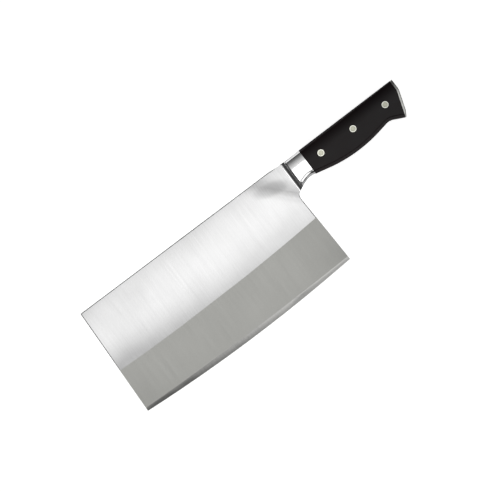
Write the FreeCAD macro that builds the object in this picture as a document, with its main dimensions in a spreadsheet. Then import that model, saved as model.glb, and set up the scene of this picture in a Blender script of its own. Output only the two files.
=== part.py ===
import FreeCAD, Part
import math
import os
import re
import Sketcher

# A broad-bladed kitchen cleaver, lying on its side.
# Sizes are drawn from the corner where the spine meets the toe: X runs along the spine
# towards the butt, Y towards the spine, Z through the thickness, with Z = 0 in the middle
# of the blade. Every piece is then moved so that the origin is at the middle of the
# underside of the whole cleaver. "Left" is the +Z side, "right" the -Z side.

SIZES = [
    ("blade_length", 208.9, "spine, from the toe to the foot of the bolster"),
    ("blade_depth", 103.2, "spine to the lowest point of the edge"),
    ("blade_thickness", 3.0, "plate of the blade and tang"),
    ("toe_lean", 3.4, "toe corner of the edge, ahead of the toe corner of the spine"),
    ("heel_setback", 0.2, "heel corner of the edge, ahead of the foot of the bolster"),
    ("edge_rise", 4.0, "rise of the edge from its lowest point to its two corners"),
    ("band_toe", 2.8, "width of the sharpened band at the toe"),
    ("band_middle", 5.1, "width of the sharpened band in the middle"),
    ("band_heel", 2.8, "width of the sharpened band at the heel"),
    ("edge_angle", 10.0, "angle of the sharpened band, each side, in degrees"),
    ("shoulder_toe", 57.8, "spine to the shoulder of the main bevel, at the toe"),
    ("shoulder_middle", 58.9, "spine to the shoulder of the main bevel, in the middle"),
    ("shoulder_heel", 53.8, "spine to the shoulder of the main bevel, at the heel"),
    ("dip_length", 10.9, "stretch of spine that falls to the bolster"),
    ("dip_depth", 0.8, "fall of the spine at the bolster"),
    ("swell_start", 48.4, "start of the swell along the spine, ahead of the foot of the bolster"),
    ("swell_angle", 46.0, "line where the swell starts, down from the spine, in degrees"),
    ("swell_run", 28.0, "width of the swell's hollow and round together"),
    ("swell_height", 2.4, "how far each side of the blade swells out to meet the bolster"),
    ("choil_setback", 2.7, "corner of the choil, ahead of the foot of the bolster"),
    ("choil_depth", 30.5, "corner of the choil, below the spine"),
    ("choil_radius", 5.5, "round of the choil"),
    ("knee_run", 6.3, "first bend of the underside, behind the foot of the bolster"),
    ("knee_depth", 25.95, "first bend of the underside, below the spine"),
    ("knee_radius", 39.0, "round of the first bend"),
    ("crest_run", 14.2, "highest bend of the underside, behind the foot of the bolster"),
    ("crest_depth", 23.6, "highest bend of the underside, below the spine"),
    ("crest_radius", 14.0, "round of the highest bend"),
    ("belly_shift", 2.45, "belly of the handle, behind half way from crest to neck"),
    ("belly_depth", 33.5, "corner of the belly, below the spine"),
    ("belly_radius", 125.0, "round of the belly"),
    ("neck_back", 21.9, "neck of the handle, ahead of the butt"),
    ("neck_depth", 26.3, "corner of the neck, below the spine"),
    ("neck_radius", 11.0, "round of the neck"),
    ("tip_back", 8.9, "lower tip of the handle, ahead of the butt"),
    ("tip_depth", 32.6, "lower tip of the handle, below the spine"),
    ("slant_back", 5.9, "lower end of the slanted butt, ahead of the butt"),
    ("slant_depth", 27.7, "lower end of the slanted butt, below the spine"),
    ("slant_radius", 6.0, "round at the lower end of the slanted butt"),
    ("kink_depth", 9.9, "bend of the butt, below the spine"),
    ("kink_radius", 8.0, "round at the bend of the butt"),
    ("handle_length", 117.6, "foot of the bolster to the butt"),
    ("handle_width", 17.5, "across the two scales"),
    ("bolster_length", 19.6, "foot of the bolster to the scales"),
    ("slope_run", 4.9, "length of the hollow slope at the front of the bolster"),
    ("cap_thickness", 2.2, "plate of the butt cap"),
    ("cap_chamfer", 0.9, "chamfer round the back of the butt cap"),
    ("lower_facet", 2.8, "chamfer along the underside of the handle"),
    ("upper_facet_front", 2.2, "chamfer along the top of the handle, at the blade"),
    ("upper_facet_rear", 1.0, "chamfer along the top of the handle, at the butt"),
    ("rivet_depth", 13.5, "row of rivets, below the spine"),
    ("front_rivet_run", 13.7, "first rivet, behind the bolster"),
    ("rear_rivet_back", 17.2, "last rivet, ahead of the butt"),
    ("head_radius", 2.9, "head of a rivet"),
    ("head_height", 2.0, "height of a rivet's head"),
    ("dish_radius", 1.9, "shallow dish in a rivet's head"),
    ("dish_depth", 0.2, "depth of that dish"),
    ("sleeve_radius", 2.1, "outside of a rivet's sleeve"),
    ("pin_radius", 1.4, "shank of a rivet's pin, and bore of its sleeve"),
    ("sleeve_gap", 1.2, "gap between the end of the sleeve and the pin's head"),
    ("bore_floor", 1.0, "steel left between the sleeve's bore and its head"),
    ("pin_gap", 0.8, "gap between the end of the pin and the floor of the bore"),
    ("tang_clearance", 0.2, "clearance round a sleeve in the tang"),
    ("over_cut", 5.0, "how far a cut runs out past what it cuts"),
]

BUTT = "(blade_length + handle_length)"
BOLSTER_END = "(blade_length + bolster_length)"
HALF_PLATE = "(blade_thickness / 2)"
HALF_SWELL = "(blade_thickness / 2 + swell_height)"
HALF_WIDTH = "(handle_width / 2)"
CORNER_DEPTH = "(blade_depth - edge_rise)"
HEEL = "(blade_length - heel_setback)"
CREST = "(blade_length + crest_run)"
NECK = "(%s - neck_back)" % BUTT
BELLY = "((%s + %s) / 2 + belly_shift)" % (CREST, NECK)

# The belly's round takes up no more than this share of the shorter side that it joins.
ROUND_SHARE = 0.8
BELLY_FALL = "(belly_depth - crest_depth) / (%s - %s)" % (BELLY, CREST)
BELLY_RISE = "(belly_depth - neck_depth) / (%s - %s)" % (NECK, BELLY)
BELLY_LIMIT = "2 * %g * (%s - %s) / (%s + %s)" % (ROUND_SHARE, NECK, BELLY, BELLY_FALL, BELLY_RISE)
BELLY_ROUND = "min(belly_radius; %s)" % BELLY_LIMIT

# The underside of the handle from the blade to the tip: along, across, radius of the round.
UNDERSIDE = [
    ("blade_length - choil_setback", "-choil_depth", "choil_radius"),
    ("blade_length + knee_run", "-knee_depth", "knee_radius"),
    (CREST, "-crest_depth", "crest_radius"),
    (BELLY, "-belly_depth", BELLY_ROUND),
    (NECK, "-neck_depth", "neck_radius"),
    (BUTT + " - tip_back", "-tip_depth", None),
]
BUTT_FACE = [
    (BUTT + " - slant_back", "-slant_depth", "slant_radius"),
    (BUTT, "-kink_depth", "kink_radius"),
    (BUTT, "0", None),
]

LEFT = 1
RIGHT = -1
ORIGIN = -1
X_AXIS = -1
Y_AXIS = -2
SAME_PLACE = 1e-6

DOC = FreeCAD.newDocument("Cleaver")
SHEET = DOC.addObject("Spreadsheet::Sheet", "Sizes")


def fill_sheet():
    for row, (alias, size, note) in enumerate(SIZES, 1):
        SHEET.set("A%d" % row, note)
        SHEET.set("B%d" % row, str(size))
        SHEET.setAlias("B%d" % row, alias)
    DOC.recompute()


def sized(text):
    """An expression for an object's property: every size is read from the sheet."""
    return re.sub(r"\b([a-z]+_[a-z_]+)\b", r"Sizes.\1", text)


def value(text):
    """What an expression of sizes comes to now."""
    return float(SHEET.evalExpression(text))


# ---------------------------------------------------------------- sketches

def new_body(name):
    """A body moved from the drawing's corner to the cleaver's own origin."""
    body = DOC.addObject("PartDesign::Body", name)
    body.Label = name
    place(body, "0", "0")
    return body


def place(body, x, y):
    body.setExpression("Placement.Base.x", sized("%s - (%s - toe_lean) / 2" % (x, BUTT)))
    body.setExpression("Placement.Base.y", sized("%s + blade_depth / 2" % y))
    body.setExpression("Placement.Base.z", sized(HALF_WIDTH))


def new_sketch(body, role, offset="0"):
    """A sketch on one of the body's own planes, moved along the plane's normal."""
    sketch = body.newObject("Sketcher::SketchObject", body.Name + "_sketch")
    plane = [feature for feature in body.Origin.OriginFeatures if feature.Role == role][0]
    sketch.AttachmentSupport = [(plane, "")]
    sketch.MapMode = "FlatFace"
    sketch.setExpression("AttachmentOffset.Base.z", sized(offset))
    return sketch


def fix(sketch, kind, geometry, point, text):
    """Holds one coordinate of a point at an expression of sizes."""
    if text == "0":
        axis = Y_AXIS if kind == "DistanceX" else X_AXIS
        sketch.addConstraint(Sketcher.Constraint("PointOnObject", geometry, point, axis))
        return
    number = sketch.addConstraint(
        Sketcher.Constraint(kind, ORIGIN, 1, geometry, point, value(text)))
    sketch.setExpression("Constraints[%d]" % number, sized(text))


def fix_point(sketch, geometry, point, x, y):
    fix(sketch, "DistanceX", geometry, point, x)
    fix(sketch, "DistanceY", geometry, point, y)


def fix_radius(sketch, geometry, text):
    number = sketch.addConstraint(Sketcher.Constraint("Radius", geometry, value(text)))
    sketch.setExpression("Constraints[%d]" % number, sized(text))


def rounding(before, here, after, radius):
    """Where a round at a corner starts and ends, and its centre."""
    back = (before - here).normalize()
    ahead = (after - here).normalize()
    half = back.getAngle(ahead) / 2
    run = radius / math.tan(half)
    centre = here + (back + ahead).normalize() * (radius / math.sin(half))
    return here + back * run, here + ahead * run, centre


def add_outline(sketch, corners):
    """A closed outline of straight sides through the corners, rounded where a radius is given."""
    points = [FreeCAD.Vector(value(x), value(y), 0) for x, y, _ in corners]
    count = len(corners)
    up = FreeCAD.Vector(0, 0, 1)
    starts, ends, arcs = [], [], []
    for i, (_, _, radius) in enumerate(corners):
        here = points[i]
        if radius is None:
            starts.append(here)
            ends.append(here)
            arcs.append(None)
            continue
        size = value(radius)
        after = points[(i + 1) % count]
        enter, leave, centre = rounding(points[i - 1], here, after, size)
        turns_left = (here - points[i - 1]).cross(after - here).z > 0
        first, last = (enter, leave) if turns_left else (leave, enter)
        angles = [math.atan2((p - centre).y, (p - centre).x) for p in (first, last)]
        arcs.append((Part.ArcOfCircle(Part.Circle(centre, up, size), *angles), turns_left))
        starts.append(leave)
        ends.append(enter)
    sides = [sketch.addGeometry(Part.LineSegment(starts[i], ends[(i + 1) % count]))
             for i in range(count)]
    for i, (x, y, radius) in enumerate(corners):
        arriving, leaving = sides[i - 1], sides[i]
        if arcs[i] is None:
            sketch.addConstraint(Sketcher.Constraint("Coincident", arriving, 2, leaving, 1))
            fix_point(sketch, leaving, 1, x, y)
            continue
        arc, turns_left = arcs[i]
        bend = sketch.addGeometry(arc)
        first, last = (1, 2) if turns_left else (2, 1)
        corner = sketch.addGeometry(Part.Point(points[i]), True)
        sketch.addConstraint(Sketcher.Constraint("Tangent", arriving, 2, bend, first))
        sketch.addConstraint(Sketcher.Constraint("Tangent", bend, last, leaving, 1))
        sketch.addConstraint(Sketcher.Constraint("PointOnObject", corner, 1, arriving))
        sketch.addConstraint(Sketcher.Constraint("PointOnObject", corner, 1, leaving))
        fix_point(sketch, corner, 1, x, y)
        fix_radius(sketch, bend, radius)
    return sketch


def arc_centre(start, end, kind, place):
    """Centre of an arc, from its two ends and one coordinate of the centre."""
    if kind == "DistanceY":
        start, end = [FreeCAD.Vector(p.y, p.x, 0) for p in (start, end)]
    across = (end.x - place) ** 2 - (start.x - place) ** 2 + end.y ** 2 - start.y ** 2
    other = across / (2 * (end.y - start.y))
    return FreeCAD.Vector(place, other, 0) if kind == "DistanceX" else FreeCAD.Vector(other, place, 0)


def add_profile(sketch, corners):
    """A closed outline through the corners. The side after a corner is straight, or an arc
    where one coordinate of its centre is given."""
    points = [FreeCAD.Vector(value(x), value(y), 0) for x, y, _ in corners]
    up = FreeCAD.Vector(0, 0, 1)
    sides = []
    for i, (_, _, bend) in enumerate(corners):
        start, end = points[i], points[(i + 1) % len(points)]
        if bend is None:
            sides.append((sketch.addGeometry(Part.LineSegment(start, end)), 1, 2))
            continue
        centre = arc_centre(start, end, bend[0], value(bend[1]))
        turns_left = (start - centre).cross(end - centre).z > 0
        first, last = (start, end) if turns_left else (end, start)
        angles = [math.atan2((p - centre).y, (p - centre).x) for p in (first, last)]
        circle = Part.Circle(centre, up, (start - centre).Length)
        arc = sketch.addGeometry(Part.ArcOfCircle(circle, *angles))
        sides.append((arc, 1, 2) if turns_left else (arc, 2, 1))
    for i, (x, y, bend) in enumerate(corners):
        arriving, _, arrival = sides[i - 1]
        leaving, departure, _ = sides[i]
        sketch.addConstraint(
            Sketcher.Constraint("Coincident", arriving, arrival, leaving, departure))
        fix_point(sketch, leaving, departure, x, y)
        if bend:
            fix(sketch, bend[0], leaving, 3, bend[1])
    return sketch


def add_circle(sketch, x, y, radius):
    centre = FreeCAD.Vector(value(x), value(y), 0)
    up = FreeCAD.Vector(0, 0, 1)
    circle = sketch.addGeometry(Part.Circle(centre, up, value(radius)))
    fix_point(sketch, circle, 3, x, y)
    fix_radius(sketch, circle, radius)
    return sketch


# ---------------------------------------------------------------- features

def pad(body, sketch, length, side=None):
    """Thickens a sketch to one side, or to both where no side is given."""
    feature = body.newObject("PartDesign::Pad", body.Name + "_pad")
    feature.Profile = sketch
    feature.setExpression("Length", sized(length))
    feature.SideType = "Symmetric" if side is None else "One side"
    feature.Reversed = side == RIGHT
    DOC.recompute()
    return feature


def cut_through(body, sketch):
    """Cuts a sketch right through the body, both ways."""
    before = body.Shape.Volume
    feature = body.newObject("PartDesign::Pocket", body.Name + "_cut")
    feature.Profile = sketch
    feature.Type = "ThroughAll"
    feature.SideType = "Symmetric"
    DOC.recompute()
    check_cut(body, feature, before)


def cut_depth(body, sketch, depth, side):
    """Cuts a sketch that lies on the outer face of one side, inwards."""
    before = body.Shape.Volume
    feature = body.newObject("PartDesign::Pocket", body.Name + "_sink")
    feature.Profile = sketch
    feature.setExpression("Length", sized(depth))
    feature.Reversed = side == RIGHT
    DOC.recompute()
    check_cut(body, feature, before)


def cut_loft(body, sketches):
    """Cuts the space between sketches that lie one behind the other."""
    before = body.Shape.Volume
    feature = body.newObject("PartDesign::SubtractiveLoft", body.Name + "_loft")
    feature.Profile = sketches[0]
    feature.Sections = sketches[1:]
    DOC.recompute()
    check_cut(body, feature, before)


def check_cut(body, feature, before):
    if not body.Shape.Volume < before:
        raise RuntimeError("%s removes nothing from %s" % (feature.Name, body.Label))


def chamfer(body, size, wanted):
    """Chamfers the edges of the body whose middle point passes the test."""
    before = body.Shape.Volume
    base = body.Tip
    names = []
    for number, edge in enumerate(base.Shape.Edges, 1):
        middle = edge.valueAt((edge.FirstParameter + edge.LastParameter) / 2)
        if wanted(edge, middle):
            names.append("Edge%d" % number)
    feature = body.newObject("PartDesign::Chamfer", body.Name + "_chamfer")
    feature.Base = (base, names)
    feature.setExpression("Size", sized(size))
    DOC.recompute()
    check_cut(body, feature, before)


# ---------------------------------------------------------------- shared shapes

def handle_outline():
    """The side of the whole handle: tang, bolster, scales and cap are ground to it as one."""
    front = ("blade_length - choil_setback", "-dip_depth", None)
    choil = UNDERSIDE[0][:2] + (None,)
    return [front, choil] + UNDERSIDE[1:] + BUTT_FACE


def inside_of_cap():
    """A region behind the inner face of the butt cap, with the cap's own bend in it."""
    slant_fall = "(slant_depth - kink_depth)"
    slant_side = "sqrt(slant_back ^ 2 + %s ^ 2)" % slant_fall
    bend_x = BUTT + " - cap_thickness"
    bend_y = "-kink_depth + cap_thickness * slant_back / (%s + %s)" % (slant_side, slant_fall)
    foot_y = "-tip_depth - over_cut"
    foot_x = "%s + (%s - (%s)) * slant_back / %s" % (bend_x, foot_y, bend_y, slant_fall)
    return [
        (bend_x, "over_cut", None),
        (bend_x, bend_y, "kink_radius - cap_thickness"),
        (foot_x, foot_y, None),
        (BUTT + " + over_cut", foot_y, None),
        (BUTT + " + over_cut", "over_cut", None),
    ]


def box_outline(x_low, x_high, y_low, y_high):
    return [(x_low, y_low, None), (x_high, y_low, None),
            (x_high, y_high, None), (x_low, y_high, None)]


def facet_section(body, x, width, side):
    """The corner that the top facet takes off the handle, at one place along it."""
    face = "%d * %s" % (side, HALF_WIDTH)
    inner = "%d * (%s - %s)" % (side, HALF_WIDTH, width)
    outer = "%d * (%s + over_cut)" % (side, HALF_WIDTH)
    top = top_line(x)
    corners = [
        ("%s - %s" % (top, width), face, None),
        ("%s - %s" % (top, width), outer, None),
        ("over_cut", outer, None),
        ("over_cut", inner, None),
        (top, inner, None),
    ]
    return add_outline(new_sketch(body, "YZ_Plane", x), corners)


def top_line(x):
    """Height of the top of the handle, which rises from the bolster to the butt."""
    front = "(blade_length - choil_setback)"
    return "(-dip_depth * (%s - %s) / (%s - %s))" % (BUTT, x, BUTT, front)


def grind_facets(body, sides):
    """Takes the long corners off the handle, as it is ground after it is put together."""
    outer = value(HALF_WIDTH)
    half_way_down = -value("crest_depth") / 2
    last = value(BUTT + " - tip_back")

    def underside(edge, middle):
        on_side = any(abs(middle.z - side * outer) < SAME_PLACE for side in sides)
        upright = abs(edge.Vertexes[0].X - edge.Vertexes[-1].X) < SAME_PLACE
        return on_side and middle.y < half_way_down and middle.x < last and not upright

    chamfer(body, "lower_facet", underside)
    for side in sides:
        front = facet_section(body, "(blade_length - choil_setback)", "upper_facet_front", side)
        rear = facet_section(body, BUTT, "upper_facet_rear", side)
        cut_loft(body, [front, rear])


def half_handle(body, side):
    """One side of the handle, from the face of the tang outwards, before it is cut to length."""
    outline = new_sketch(body, "XY_Plane", "%d * %s" % (side, HALF_PLATE))
    pad(body, add_outline(outline, handle_outline()), HALF_WIDTH + " - " + HALF_PLATE, side)
    grind_facets(body, [side])


def trim(body, corners):
    cut_through(body, add_outline(new_sketch(body, "XY_Plane"), corners))


def cut_at_slope(body, side, far_x):
    """Cuts one side down to the tang's face, from the bolster's hollow slope to a far place
    ahead of it or behind it. The slope's foot lies level with the top of the swell."""
    tang, swell, face = ["%d * %s" % (side, level) for level in (HALF_PLATE, HALF_SWELL, HALF_WIDTH)]
    out = "%d * (%s + over_cut)" % (side, HALF_WIDTH)
    cut_through(body, add_profile(new_sketch(body, "XZ_Plane"), [
        ("blade_length", tang, None),
        ("blade_length", swell, ("DistanceX", "blade_length")),
        ("blade_length + slope_run", face, None),
        ("blade_length + slope_run", out, None),
        (far_x, out, None),
        (far_x, tang, None),
    ]))


def rivet_places():
    """Where the rivets stand in their row: the middle one is half way between the others."""
    front = "(%s + front_rivet_run)" % BOLSTER_END
    rear = "(%s - rear_rivet_back)" % BUTT
    middle = "((%s + %s) / 2)" % (front, rear)
    return [("front", front), ("middle", middle), ("rear", rear)]


# ---------------------------------------------------------------- pieces

def bevel_section(body, x, past_end, band, shoulder):
    """What grinding takes off both sides of the blade, at one place along it."""
    rise = "edge_rise * %s" % past_end
    edge = "(-blade_depth + %s)" % rise
    behind_edge = "(%s * tan(edge_angle * 1 deg))" % band
    free = "(%s + over_cut)" % HALF_PLATE
    below = "-(blade_depth + 2 * over_cut)"
    corners = [
        ("-" + shoulder, HALF_PLATE, None),
        ("-" + shoulder, free, None),
        (below, free, None),
        (below, "-" + free, None),
        ("-" + shoulder, "-" + free, None),
        ("-" + shoulder, "-" + HALF_PLATE, None),
        ("%s + %s" % (edge, band), "-" + behind_edge, None),
        (edge, "0", None),
        ("%s + %s" % (edge, band), behind_edge, None),
    ]
    return add_outline(new_sketch(body, "YZ_Plane", x), corners)


def grind_side(body, side):
    """Grinds one side of the blank flat, up to a slanted line where it starts to swell."""
    sketch = new_sketch(body, "XZ_Plane")
    sketch.AttachmentOffset = FreeCAD.Placement(
        FreeCAD.Vector(), FreeCAD.Rotation(FreeCAD.Vector(0, 1, 0), 90 - value("swell_angle")))
    sketch.setExpression("AttachmentOffset.Base.x", sized("blade_length - swell_start"))
    sketch.setExpression("AttachmentOffset.Rotation.Angle", sized("(90 - swell_angle) * 1 deg"))
    flat, half_way, top = ["%d * %s" % (side, level) for level in (
        HALF_PLATE, "(%s + swell_height / 2)" % HALF_PLATE, HALF_SWELL)]
    out = "%d * (%s + over_cut)" % (side, HALF_WIDTH)
    ahead = "-(blade_length + blade_depth)"
    behind = "(handle_length + blade_depth)"
    cut_through(body, add_profile(sketch, [
        (ahead, flat, None),
        ("0", flat, ("DistanceX", "0")),
        ("swell_run / 2", half_way, ("DistanceX", "swell_run")),
        ("swell_run", top, None),
        (behind, top, None),
        (behind, out, None),
        (ahead, out, None),
    ]))


def make_blade():
    """Blade and tang forged as one: ground flat to a plate that swells out beside the
    bolster, and ground again to an edge. The tang is as wide as the handle."""
    body = new_body("blade")
    stock = "(blade_depth + over_cut)"
    toe = "-toe_lean * %s / %s" % (stock, CORNER_DEPTH)
    heel_lean = "(choil_setback - heel_setback)"
    heel_fall = "(%s - choil_depth)" % CORNER_DEPTH
    heel = "%s + %s * (%s - %s) / %s" % (HEEL, heel_lean, stock, CORNER_DEPTH, heel_fall)
    front = [
        (toe, "-" + stock, None),
        ("0", "0", None),
        ("blade_length - dip_length", "0", None),
        ("blade_length - choil_setback", "-dip_depth", None),
    ]
    back = [(heel, "-" + stock, None)]
    corners = front + list(reversed(BUTT_FACE)) + list(reversed(UNDERSIDE)) + back
    blank = new_sketch(body, "XY_Plane")
    pad(body, add_outline(blank, corners), "handle_width")
    trim(body, inside_of_cap())
    for side in (LEFT, RIGHT):
        grind_side(body, side)
        cut_at_slope(body, side, BUTT + " + over_cut")

    half_edge = "((%s + toe_lean) / 2)" % HEEL
    run_out = "((%s + over_cut) / %s) ^ 2" % (half_edge, half_edge)
    cut_loft(body, [
        bevel_section(body, "-toe_lean - over_cut", run_out, "band_toe", "shoulder_toe"),
        bevel_section(body, half_edge + " - toe_lean", "0", "band_middle", "shoulder_middle"),
        bevel_section(body, HEEL + " + over_cut", run_out, "band_heel", "shoulder_heel"),
    ])
    for _, x in rivet_places():
        hole = new_sketch(body, "XY_Plane")
        cut_through(body, add_circle(hole, x, "-rivet_depth", "sleeve_radius + tang_clearance"))


def make_bolster(name, side):
    """A steel cheek welded to the side of the tang, with a hollow slope down to the blade."""
    body = new_body(name)
    half_handle(body, side)
    trim(body, box_outline(BOLSTER_END, BUTT + " + over_cut", "-belly_depth - over_cut", "over_cut"))
    cut_at_slope(body, side, "blade_length - choil_setback - over_cut")


def make_scale(name, side):
    """A black slab riveted to the side of the tang, between the bolster and the butt cap."""
    body = new_body(name)
    half_handle(body, side)
    ahead = "blade_length - choil_setback - over_cut"
    trim(body, box_outline(ahead, BOLSTER_END, "-choil_depth - over_cut", "over_cut"))
    trim(body, inside_of_cap())
    for _, x in rivet_places():
        hole = new_sketch(body, "XY_Plane")
        cut_through(body, add_circle(hole, x, "-rivet_depth", "sleeve_radius"))
        seat = new_sketch(body, "XY_Plane", "%d * %s" % (side, HALF_WIDTH))
        cut_depth(body, add_circle(seat, x, "-rivet_depth", "head_radius"), "head_height", side)


def make_butt_cap():
    """A bent steel plate welded across the end of the tang, as wide as the handle."""
    body = new_body("butt_cap")
    pad(body, add_outline(new_sketch(body, "XY_Plane"), handle_outline()), "handle_width")
    grind_facets(body, [LEFT, RIGHT])
    inner = inside_of_cap()
    ahead = "blade_length - choil_setback - over_cut"
    front = [(ahead, "over_cut", None)] + inner[:3] + [(ahead, inner[2][1], None)]
    trim(body, front)
    outer = value(HALF_WIDTH)
    inner_face = value(BUTT + " - cap_thickness / 2")

    def back_edge(edge, middle):
        on_side = abs(abs(middle.z) - outer) < SAME_PLACE
        shape = body.Tip.Shape
        behind = middle + FreeCAD.Vector(value("cap_thickness") / 2, 0, 0)
        at_back = not shape.isInside(behind, SAME_PLACE, True)
        long_or_rear = edge.Length > value("cap_thickness") or middle.x > inner_face
        return on_side and at_back and long_or_rear

    chamfer(body, "cap_chamfer", back_edge)


def revolve(name, x, corners):
    """A turned piece on its own upright axis, standing in the row of rivets."""
    body = new_body(name)
    place(body, x, "-rivet_depth")
    sketch = add_outline(new_sketch(body, "XZ_Plane"), corners)
    feature = body.newObject("PartDesign::Revolution", name + "_turned")
    feature.Profile = sketch
    feature.ReferenceAxis = (sketch, ["V_Axis"])
    feature.Angle = 360
    DOC.recompute()


def make_rivet(place_name, x):
    """A two-part cutler's rivet: a headed sleeve from the left, a headed pin pressed into it."""
    sleeve_end = "(-%s + head_height + sleeve_gap)" % HALF_WIDTH
    bore_end = "(%s - head_height - bore_floor)" % HALF_WIDTH
    rim = "dish_radius + dish_depth"
    revolve(place_name + "_rivet_sleeve", x, [
        ("0", HALF_WIDTH + " - dish_depth", None),
        ("dish_radius", HALF_WIDTH + " - dish_depth", None),
        (rim, HALF_WIDTH, None),
        ("head_radius", HALF_WIDTH, None),
        ("head_radius", HALF_WIDTH + " - head_height", None),
        ("sleeve_radius", HALF_WIDTH + " - head_height", None),
        ("sleeve_radius", sleeve_end, None),
        ("pin_radius", sleeve_end, None),
        ("pin_radius", bore_end, None),
        ("0", bore_end, None),
    ])
    revolve(place_name + "_rivet_pin", x, [
        ("0", "-%s + dish_depth" % HALF_WIDTH, None),
        ("dish_radius", "-%s + dish_depth" % HALF_WIDTH, None),
        (rim, "-" + HALF_WIDTH, None),
        ("head_radius", "-" + HALF_WIDTH, None),
        ("head_radius", "-%s + head_height" % HALF_WIDTH, None),
        ("pin_radius", "-%s + head_height" % HALF_WIDTH, None),
        ("pin_radius", bore_end + " - pin_gap", None),
        ("0", bore_end + " - pin_gap", None),
    ])


def write_pieces():
    """Checks every object and writes one file for each piece."""
    for thing in DOC.Objects:
        if "Invalid" in thing.State or "Error" in thing.State:
            raise RuntimeError("%s did not compute: %s" % (thing.Name, thing.State))
    bodies = [thing for thing in DOC.Objects if thing.TypeId == "PartDesign::Body"]
    for body in bodies:
        shape = body.Shape
        if shape.isNull() or not shape.isValid() or len(shape.Solids) != 1:
            raise RuntimeError("%s is not one sound solid" % body.Label)
    os.makedirs("parts", exist_ok=True)
    for body in bodies:
        body.Shape.exportStep("parts/%s.step" % body.Label)
        print("%-22s %9.1f mm3" % (body.Label, body.Shape.Volume))


fill_sheet()
make_blade()
make_bolster("left_bolster", LEFT)
make_bolster("right_bolster", RIGHT)
make_scale("left_scale", LEFT)
make_scale("right_scale", RIGHT)
make_butt_cap()
for rivet_name, rivet_x in rivet_places():
    make_rivet(rivet_name, rivet_x)
write_pieces()
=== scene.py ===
import math

import bmesh
import bpy
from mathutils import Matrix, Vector


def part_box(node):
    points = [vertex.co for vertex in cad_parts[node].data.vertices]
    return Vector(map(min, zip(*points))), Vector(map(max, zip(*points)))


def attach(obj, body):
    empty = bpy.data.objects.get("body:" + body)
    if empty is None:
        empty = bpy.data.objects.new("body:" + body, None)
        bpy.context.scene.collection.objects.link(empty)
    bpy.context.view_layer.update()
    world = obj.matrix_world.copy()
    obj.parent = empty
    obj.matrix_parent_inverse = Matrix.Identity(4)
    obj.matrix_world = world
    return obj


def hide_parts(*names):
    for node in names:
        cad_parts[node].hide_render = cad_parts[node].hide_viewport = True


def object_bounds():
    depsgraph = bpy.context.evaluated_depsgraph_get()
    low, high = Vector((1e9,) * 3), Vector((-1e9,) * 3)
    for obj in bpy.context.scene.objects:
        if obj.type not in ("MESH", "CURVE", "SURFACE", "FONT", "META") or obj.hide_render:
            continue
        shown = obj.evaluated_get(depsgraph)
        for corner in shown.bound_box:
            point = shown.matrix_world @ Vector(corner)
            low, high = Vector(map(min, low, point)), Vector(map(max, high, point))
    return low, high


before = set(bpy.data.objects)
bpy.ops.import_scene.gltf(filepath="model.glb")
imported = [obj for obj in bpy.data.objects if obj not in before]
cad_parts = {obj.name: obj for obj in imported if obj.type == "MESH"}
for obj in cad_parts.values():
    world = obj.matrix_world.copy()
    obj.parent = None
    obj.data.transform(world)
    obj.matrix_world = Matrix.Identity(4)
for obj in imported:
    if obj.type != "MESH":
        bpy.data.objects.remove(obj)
cad_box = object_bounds()

# THE BLADE
# Stainless steel, forged with its tang in one and ground flat, so that its sides swell out
# only beside the bolster. A long bevel and a narrow sharpened band are ground below that.

MM = 0.001
blade_low, blade_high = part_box("blade")
bolster_low, bolster_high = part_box("left_bolster")
middle_z = (blade_low.z + blade_high.z) / 2
shoulder_depth = 58 * MM


class Value:
    """A value that changes over a surface. Sums with it become nodes of its material."""

    def __init__(self, shading, socket):
        self.shading = shading
        self.socket = socket

    def __add__(self, other):
        return self.shading.sum("ADD", self, other)

    def __radd__(self, other):
        return self.shading.sum("ADD", other, self)

    def __sub__(self, other):
        return self.shading.sum("SUBTRACT", self, other)

    def __rsub__(self, other):
        return self.shading.sum("SUBTRACT", other, self)

    def __mul__(self, other):
        return self.shading.sum("MULTIPLY", self, other)

    def __rmul__(self, other):
        return self.shading.sum("MULTIPLY", other, self)

    def __truediv__(self, other):
        return self.shading.sum("DIVIDE", self, other)

    def clamped(self):
        return self.shading.node("ShaderNodeClamp", {}, {"Value": self})

    def between(self, low, high):
        """Eases from 0 at the low value to 1 at the high one."""
        return self.shading.node(
            "ShaderNodeMapRange", {"interpolation_type": "SMOOTHSTEP"},
            {"Value": self, "From Min": low, "From Max": high})


class Shading:
    """The nodes that shade one surface, or the surroundings, at the given coordinates."""

    def __init__(self, tree, coordinates):
        self.tree = tree
        self.tree.nodes.clear()
        self.place = self.node("ShaderNodeTexCoord", {}, {}, coordinates)

    def node(self, kind, settings, sockets, out=0):
        """Any node, with its settings and what goes into its sockets, by name or number."""
        made = self.tree.nodes.new(kind)
        for name, setting in settings.items():
            setattr(made, name, setting)
        for name, value in sockets.items():
            if isinstance(value, Value):
                self.tree.links.new(value.socket, made.inputs[name])
            else:
                made.inputs[name].default_value = value
        return Value(self, made.outputs[out]) if len(made.outputs) else None

    def sum(self, operation, *inputs):
        return self.node("ShaderNodeMath", {"operation": operation}, dict(enumerate(inputs)))

    def part(self, axis):
        """Where a point of the surface lies along one axis of the object, in metres."""
        return self.node("ShaderNodeSeparateXYZ", {}, {0: self.place}, axis)

    def grain(self, repeats, detail=2.0, roughness=0.5):
        """Noise that repeats so many times a metre along X, Y and Z."""
        scaled = self.node("ShaderNodeVectorMath", {"operation": "MULTIPLY"},
                           {0: self.place, 1: repeats})
        return self.node("ShaderNodeTexNoise", {},
                         {"Vector": scaled, "Scale": 1.0, "Detail": detail,
                          "Roughness": roughness})

    def blend(self, mask, first, second):
        """One colour where the mask is 0 and another where it is 1."""
        colour_a, colour_b, colour_out = 6, 7, 2
        return self.node("ShaderNodeMix", {"data_type": "RGBA"},
                         {"Factor": mask, colour_a: first, colour_b: second}, colour_out)


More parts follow.
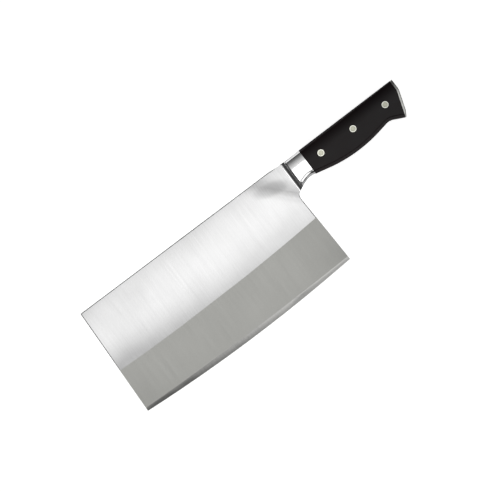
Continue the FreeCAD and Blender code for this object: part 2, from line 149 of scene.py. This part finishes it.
class Finish(Shading):
    """A material of the object."""

    def __init__(self, name):
        self.material = bpy.data.materials.new(name)
        self.material.use_nodes = True
        super().__init__(self.material.node_tree, "Object")

    def surface(self, sockets, height, depth):
        """Ends the material, with marks as deep as this where the height is 1."""
        sockets["Normal"] = self.node("ShaderNodeBump", {}, {"Height": height, "Distance": depth})
        shader = self.node("ShaderNodeBsdfPrincipled", {}, sockets)
        self.node("ShaderNodeOutputMaterial", {}, {"Surface": shader})
        return self.material


def grey(shade, warmth=0.0):
    """A grey with a little less blue in it, the warmer it is."""
    return (shade, shade, shade * (1 - warmth), 1)


line_depth = 0.008 * MM


def grind_lines(steel):
    """Fine lines from the spine to the edge, with some that are coarser."""
    fine = steel.grain((4200.0, 36.0, 900.0), 3.0, 0.6)
    coarse = steel.grain((700.0, 20.0, 300.0), 3.0, 0.6)
    return fine, coarse


def painted_swell_shade(steel):
    """Painted shade in the hollow of the swell, leaning along it."""
    ahead_of_bolster, below_spine = 18 * MM, 13 * MM
    half_length, half_width = 15 * MM, 6 * MM
    lean, fade = 0.55, 1.6
    along = (steel.part("X") - (bolster_low.x - ahead_of_bolster)) / half_length
    down = (steel.part("Y") - (blade_high.y - below_spine)) / half_width
    across = down + lean * along
    return 1 - (along * along + across * across).between(0.0, fade)


def satin_flat():
    """The flat has a painted highlight half way down and painted shade on its lower part towards the
    toe.
    """
    steel = Finish("satin_flat_steel")
    dull, bright = grey(0.46), grey(0.91)
    painted_highlight_depth = 0.46
    toe_shade_reach = 130 * MM
    fine, coarse = grind_lines(steel)
    depth = (blade_high.y - steel.part("Y")) / shoulder_depth
    off_middle = depth - painted_highlight_depth
    painted_toe_shade = 1 - steel.part("X").between(blade_low.x, blade_low.x + toe_shade_reach)
    clouds = steel.grain((22.0, 30.0, 22.0), 2.0)
    # Painted highlight across the middle of the flat; painted shade on the lower part near the toe.
    tone = 0.76 - 1.6 * (off_middle * off_middle) - 0.45 * (painted_toe_shade * depth.between(0.55, 1.0))
    tone = tone + 1.1 * (clouds - 0.5) + 0.5 * (coarse - 0.5) + 0.5 * (fine - 0.5)
    # Painted shade in the hollow of the swell beside the bolster.
    tone = tone - 0.42 * painted_swell_shade(steel)
    return steel.surface(
        {"Base Color": steel.blend(tone.clamped(), dull, bright),
         "Metallic": 1.0, "Roughness": 0.34 + 0.12 * (coarse - 0.5) + 0.1 * (clouds - 0.5)},
        0.6 * fine + 0.4 * coarse, line_depth)


def ground_bevel():
    """The bevel is wet ground, and so an even dull grey, with painted shade darker towards the heel.
    """
    steel = Finish("ground_bevel_steel")
    dull, bright = grey(0.385, 0.05), grey(0.475, 0.05)
    shade_start, shade_end = blade_low.x + 150 * MM, blade_low.x + 215 * MM
    speckle_depth = 0.006 * MM
    fine, coarse = grind_lines(steel)
    clouds = steel.grain((18.0, 26.0, 18.0), 2.0)
    speckle = steel.grain((900.0, 900.0, 900.0), 2.0)
    # Painted shade: the bevel is painted darker towards the heel.
    heel_painted_shade = steel.part("X").between(shade_start, shade_end)
    tone = 0.75 - 0.5 * heel_painted_shade
    tone = tone + 0.7 * (clouds - 0.5) + 0.5 * (speckle - 0.5) + 0.3 * (coarse - 0.5)
    return steel.surface(
        {"Base Color": steel.blend(tone.clamped(), dull, bright),
         "Metallic": 1.0, "Roughness": 0.40 + 0.08 * (coarse - 0.5)},
        0.5 * fine + 0.5 * speckle, speckle_depth)


def sharpened_band():
    """The sharpened band is stoned by hand, and coarser towards the toe; painted shade makes it darker
    towards the toe.
    """
    steel = Finish("sharpened_band_steel")
    dull, bright = grey(0.22, 0.03), grey(0.62, 0.03)
    heel = blade_low.x + 215 * MM
    scratches = steel.grain((1400.0, 160.0, 500.0), 3.0, 0.65)
    patches = steel.grain((45.0, 200.0, 60.0), 2.0)
    # Painted shade: the band is painted darker towards the toe.
    along = steel.part("X").between(blade_low.x, heel)
    tone = along + 0.5 * (scratches - 0.5) + 0.4 * (patches - 0.5)
    return steel.surface(
        {"Base Color": steel.blend(tone.clamped(), dull, bright),
         "Metallic": 1.0, "Roughness": 0.36 + 0.14 * (patches - 0.5)},
        scratches, line_depth)


def edges_sharper_than(work, degrees):
    return [edge for edge in work.edges
            if edge.is_manifold and edge.calc_face_angle(0) > math.radians(degrees)]


def corner_edges(work):
    return edges_sharper_than(work, 15)


def soften(work, edges, width, segments):
    """Rounds these edges over, this far into the faces beside them."""
    bmesh.ops.bevel(work, geom=edges, offset=width, segments=segments, profile=0.5,
                    affect="EDGES", clamp_overlap=False)


def worked_mesh(node, name, finishes, shape):
    """A CAD piece as a mesh to show: joined up, its corners shaped, and shaded smoothly."""
    same_place = 0.002 * MM
    same_plane = math.radians(0.1)
    work = bmesh.new()
    work.from_mesh(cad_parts[node].data)
    bmesh.ops.remove_doubles(work, verts=work.verts, dist=same_place)
    bmesh.ops.dissolve_limit(work, angle_limit=same_plane, verts=work.verts, edges=work.edges)
    for face in work.faces:
        face.material_index = 0
    shape(work)
    for face in work.faces:
        face.smooth = True
    for edge in work.edges:
        edge.smooth = True
    for edge in edges_sharper_than(work, 35):
        edge.smooth = False
    mesh = bpy.data.meshes.new(name)
    work.to_mesh(mesh)
    work.free()
    for finish in finishes:
        mesh.materials.append(finish)
    piece = bpy.data.objects.new(name, mesh)
    bpy.context.scene.collection.objects.link(piece)
    even = piece.modifiers.new("even_shading", "WEIGHTED_NORMAL")
    even.keep_sharp = True
    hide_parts(node)
    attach(piece, "root")
    return piece


def shape_blade(work):
    """Tells the bevel and the band by their tilt, and rounds the corners of the plate."""
    bevel, band = 1, 2
    bevel_tilt, band_tilt, wall_tilt = math.radians(0.5), math.radians(5), math.radians(45)
    flats_end = blade_high.y - shoulder_depth + 6 * MM
    for face in work.faces:
        tilt = math.acos(min(1.0, abs(face.normal.z)))
        if face.calc_center_median().y < flats_end and bevel_tilt < tilt < wall_tilt:
            face.material_index = band if tilt > band_tilt else bevel
    band_top = blade_low.y + 8 * MM
    too_sharp = math.radians(120)
    plate_corners = [edge for edge in corner_edges(work)
                     if edge.calc_face_angle(0) < too_sharp
                     and min(point.co.y for point in edge.verts) > band_top
                     and max(point.co.x for point in edge.verts) < bolster_low.x]
    corner_round = 1.0 * MM
    soften(work, plate_corners, corner_round, 4)


blade = worked_mesh("blade", "cleaver_blade", [satin_flat(), ground_bevel(), sharpened_band()],
                    shape_blade)

# THE BOLSTER
# Two polished steel cheeks welded to the sides of the tang. They rise from the blade in a
# hollow slope. The top and the underside of the handle are rounded over when it is ground.

polish = Finish("polished_steel")
smear = polish.grain((180.0, 260.0, 260.0), 4.0)
scuff = polish.grain((2400.0, 400.0, 2400.0), 2.0)
scuff_depth = 0.002 * MM
polished_steel = polish.surface(
    {"Base Color": polish.blend(smear, grey(0.82), grey(0.94)),
     "Metallic": 1.0, "Roughness": 0.08 + 0.05 * smear + 0.03 * scuff},
    scuff, scuff_depth)

handle_top = bolster_high.y
face_height = bolster_high.z - middle_z
tang_height = bolster_low.z - middle_z


def crown(work):
    """Rounds the upper part of the handle's broad sides over towards the top."""
    width, fall, steps = 13 * MM, 2.2 * MM, 15
    same_place = 0.001 * MM
    along_y = Vector((0.0, 1.0, 0.0))
    start = handle_top - width
    for k in range(steps):
        everything = work.verts[:] + work.edges[:] + work.faces[:]
        bmesh.ops.bisect_plane(work, geom=everything, plane_co=along_y * (start + width * k / steps),
                               plane_no=along_y, dist=same_place)
    for point in work.verts:
        near_top = max(0.0, (point.co.y - start) / width)
        height = point.co.z - middle_z
        share = max(0.0, (abs(height) - tang_height) / (face_height - tang_height))
        point.co.z -= math.copysign(fall * near_top ** 2 * share, height)


underside_top = handle_top - 15 * MM


def long_under_edges(work):
    """Where the broad side meets the facet along the underside."""
    on_face, shortest_run = 0.05 * MM, 0.2 * MM
    return [edge for edge in corner_edges(work)
            if all(abs(abs(point.co.z - middle_z) - face_height) < on_face for point in edge.verts)
            and max(point.co.y for point in edge.verts) < underside_top
            and abs(edge.verts[0].co.x - edge.verts[1].co.x) > shortest_run]


def lay_facet_over(work):
    """Makes the cheek's facet flatter towards the blade, and leaves it as it is at the scale."""
    facet_fall = 2.9 * MM
    flattest, bend = 0.8, 4
    for point in work.verts:
        height = point.co.z - middle_z
        fallen = face_height - abs(height)
        if point.co.y < underside_top and fallen < facet_fall:
            back = (point.co.x - bolster_low.x) / (bolster_high.x - bolster_low.x)
            lay = flattest + (1 - flattest) * back ** bend
            point.co.z = middle_z + math.copysign(face_height - lay * fallen, height)


def shape_cheek(work):
    under_round, corner_round, too_close = 2.2 * MM, 0.10 * MM, 0.10 * MM
    soften(work, long_under_edges(work), under_round, 8)
    lay_facet_over(work)
    bmesh.ops.remove_doubles(work, verts=work.verts, dist=too_close)
    crown(work)
    soften(work, corner_edges(work), corner_round, 2)


for side in ("left", "right"):
    cheek = worked_mesh(side + "_bolster", side + "_bolster_cheek", [polished_steel], shape_cheek)

# THE BUTT CAP
# A steel plate bent to the slanted butt and welded across the end of the tang. It is brushed
# rather than polished, and ground to the handle's outline with the rest.

brushed = Finish("brushed_steel")
strokes = brushed.grain((300.0, 3000.0, 300.0), 3.0)
streaks = brushed.grain((120.0, 260.0, 120.0), 2.0)
stroke_depth = 0.004 * MM
brushed_steel = brushed.surface(
    {"Base Color": brushed.blend(streaks, grey(0.34, 0.04), grey(0.58, 0.04)),
     "Metallic": 1.0, "Roughness": 0.28 + 0.08 * strokes},
    strokes, stroke_depth)


def shape_cap(work):
    corner_round = 0.15 * MM
    crown(work)
    soften(work, corner_edges(work), corner_round, 2)


cap = worked_mesh("butt_cap", "butt_plate", [brushed_steel], shape_cap)

# THE SCALES
# Two slabs of black plastic, riveted through the tang and ground to the tang's outline,
# with a facet along the top and another along the underside.

black = Finish("black_scale_plastic")
mottle = black.grain((90.0, 260.0, 260.0), 4.0)
pore = black.grain((1500.0, 4200.0, 4200.0), 3.0)
# Painted shade: the scales are painted darker towards the butt, over a random mottle.
painted_shade_to_butt = black.part("X").between(bolster_high.x, cad_box[1][0])
deep_black, pale_black = (0.0060, 0.0020, 0.0028, 1), (0.0165, 0.0066, 0.0080, 1)
pore_depth = 0.015 * MM
black_plastic = black.surface(
    {"Base Color": black.blend((mottle - 0.35 * painted_shade_to_butt).clamped(), deep_black, pale_black),
     "Roughness": 0.36 + 0.10 * (mottle - 0.5) + 0.05 * (pore - 0.5),
     "Specular IOR Level": 0.25},
    0.7 * pore + 0.3 * mottle, pore_depth)

spots = ("front", "middle", "rear")
rivet_boxes = [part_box(spot + "_rivet_sleeve") for spot in spots]


def in_rivet_hole(place):
    margin = 0.1 * MM
    return any(low.x - margin < place.x < high.x + margin
               and low.y - margin < place.y < high.y + margin
               for low, high in rivet_boxes)


def shape_scale(work):
    """Rounds every corner but those of the holes, which the rivets' heads fill."""
    under_round, corner_round = 0.6 * MM, 0.12 * MM
    soften(work, long_under_edges(work), under_round, 4)
    crown(work)
    outside = [edge for edge in corner_edges(work)
               if not any(in_rivet_hole(point.co) for point in edge.verts)]
    soften(work, outside, corner_round, 2)


for side in ("left", "right"):
    scale = worked_mesh(side + "_scale", side + "_handle_scale", [black_plastic], shape_scale)

# THE RIVETS
# Three cutler's rivets of nickel silver, each a headed sleeve and a headed pin pressed
# into it, with their heads ground flush with the scales and a shallow dish in each.


def nickel_silver(name, centre, head_radius, shade):
    """Turned on a lathe, so marked in rings, with a polished rim round a duller dish."""
    silver = Finish(name)
    dish_colour, rim_colour = grey(shade * 0.82, 0.20), grey(shade * 1.3, 0.11)
    rim_start, rim_end = 0.62 * head_radius, 0.78 * head_radius
    ring_pitch, ring_depth = 0.35 * MM, 0.004 * MM
    x = silver.part("X") - centre.x
    y = silver.part("Y") - centre.y
    radius = silver.sum("SQRT", x * x + y * y)
    rings = silver.sum("SINE", radius * (2 * math.pi / ring_pitch))
    tarnish = silver.grain((700.0, 700.0, 700.0), 3.0)
    rim = radius.between(rim_start, rim_end)
    tone = 0.15 + 0.75 * rim + 0.1 * rings + 0.5 * (tarnish - 0.5)
    return silver.surface(
        {"Base Color": silver.blend(tone.clamped(), dish_colour, rim_colour),
         "Metallic": 1.0, "Roughness": 0.34 + 0.12 * (tarnish - 0.5) - 0.06 * rim},
        0.5 * rings + tarnish, ring_depth)


def shape_rivet(work):
    corner_round = 0.05 * MM
    soften(work, corner_edges(work), corner_round, 2)


# Painted shade: the same nickel silver is painted darker on each rivet nearer the butt.
rivet_tones_with_painted_shade = (0.62, 0.54, 0.46)
for spot, (low, high), shade in zip(spots, rivet_boxes, rivet_tones_with_painted_shade):
    finish = nickel_silver(spot + "_nickel_silver", (low + high) / 2, (high.x - low.x) / 2, shade)
    for half in ("sleeve", "pin"):
        node = spot + "_rivet_" + half
        rivet = worked_mesh(node, spot + "_rivet_" + half + "_turned", [finish], shape_rivet)

# THE TABLE, THE LIGHTS AND THE CAMERA
# A plain white table, one soft light overhead and another beyond the edge of the blade. The
# surroundings are dark, but for a halo that softens the edge of the overhead light and a
# glow low down in front, so that the steel has both light and dark to mirror.

scene = bpy.context.scene
scene.view_settings.view_transform = "Standard"

reach = 3.0
table_corners = [(-reach, -reach, 0), (reach, -reach, 0), (reach, reach, 0), (-reach, reach, 0)]
table_mesh = bpy.data.meshes.new("table")
table_mesh.from_pydata(table_corners, [], [(0, 1, 2, 3)])
table = bpy.data.objects.new("table", table_mesh)
scene.collection.objects.link(table)
table_top = Finish("pale_table_top")
speck = table_top.grain((40.0, 40.0, 40.0), 3.0)
speck_depth = 0.01 * MM
table_mesh.materials.append(table_top.surface(
    {"Base Color": table_top.blend(speck, grey(0.93), grey(0.96)), "Roughness": 0.7,
     "Specular IOR Level": 0.2, "Emission Color": (1, 1, 1, 1), "Emission Strength": 0.84},
    speck, speck_depth))

world = bpy.data.worlds.new("studio")
world.use_nodes = True
sky = Shading(world.node_tree, "Generated")
low_down = 1 - sky.part("Z").between(0.12, 0.42)
in_front = (0 - sky.part("Y")).between(0.0, 0.8)
halo = sky.part("Z").between(0.8, 1.0)
dimmest, halo_glow, low_glow, front_glow = 0.05, 0.8, 0.05, 0.38
glow = dimmest + halo_glow * (halo * halo) + low_down * (low_glow + front_glow * in_front)
surround = sky.node("ShaderNodeBackground", {}, {"Color": sky.blend(glow.clamped(), grey(0), grey(1))})
sky.node("ShaderNodeOutputWorld", {}, {"Surface": surround})
scene.world = world


def soft_light(name, place, brightness, width):
    """A round lamp that faces the middle of the table."""
    lamp = bpy.data.lights.new(name, "AREA")
    lamp.shape = "DISK"
    lamp.size = width
    lamp.energy = brightness * math.pi * math.pi * (width / 2) ** 2
    holder = bpy.data.objects.new(name, lamp)
    holder.location = place
    holder.rotation_euler = Vector(place).to_track_quat("Z", "Y").to_euler()
    scene.collection.objects.link(holder)


soft_light("overhead", place=(0.0, 0.0, 2.9), brightness=1.12, width=1.2)
soft_light("front_fill", place=(0.5, -1.6, 2.1), brightness=1.3, width=1.1)

view_turn = math.radians(36.95)
view_width = 0.4123
view_distance = 2.5
from_toe, from_heel, above_table = 148.75 * MM, 65.12 * MM, 11 * MM
view_middle = Vector((cad_box[0][0] + from_toe, cad_box[0][1] + from_heel, above_table))
lens = bpy.data.cameras.new("camera")
lens.sensor_width = 36.0
lens.lens = lens.sensor_width * view_distance / view_width
lens.clip_start = 0.1
camera = bpy.data.objects.new("camera", lens)
camera.location = view_middle + Vector((0, 0, view_distance))
camera.rotation_euler = (0, 0, -view_turn)
scene.collection.objects.link(camera)
scene.camera = camera
